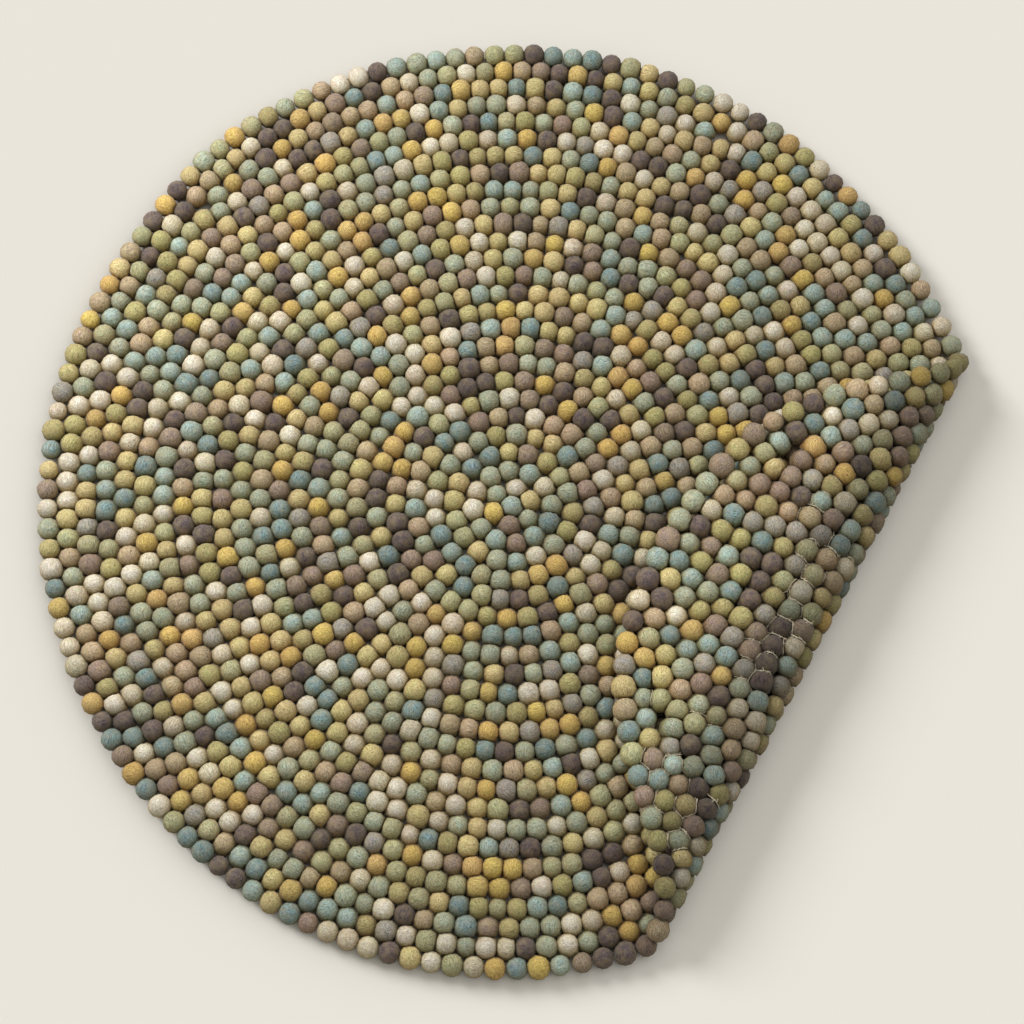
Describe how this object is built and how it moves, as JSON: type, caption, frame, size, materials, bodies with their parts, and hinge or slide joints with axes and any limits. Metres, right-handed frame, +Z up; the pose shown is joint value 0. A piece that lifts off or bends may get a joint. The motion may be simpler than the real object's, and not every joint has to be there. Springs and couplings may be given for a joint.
{
  "type": "felt ball rug",
  "caption": "Round rug of small felt balls sewn in rings, lying flat with one edge folded over on top so that its underside shows.",
  "frame": {"origin": "on the floor, on the flat underside below the ball at the centre of the rings", "axes": "+Z up from the floor; +X towards the side where the edge is folded over, whose fold line runs from far right to near middle; +Y away from the viewer"},
  "size_m": [0.9659, 1.0057, 0.05],
  "materials": {
    "felt": "matte felted wool"
  },
  "bodies": {
    "root": {"rug": "felt"}
  },
  "joints": []
}
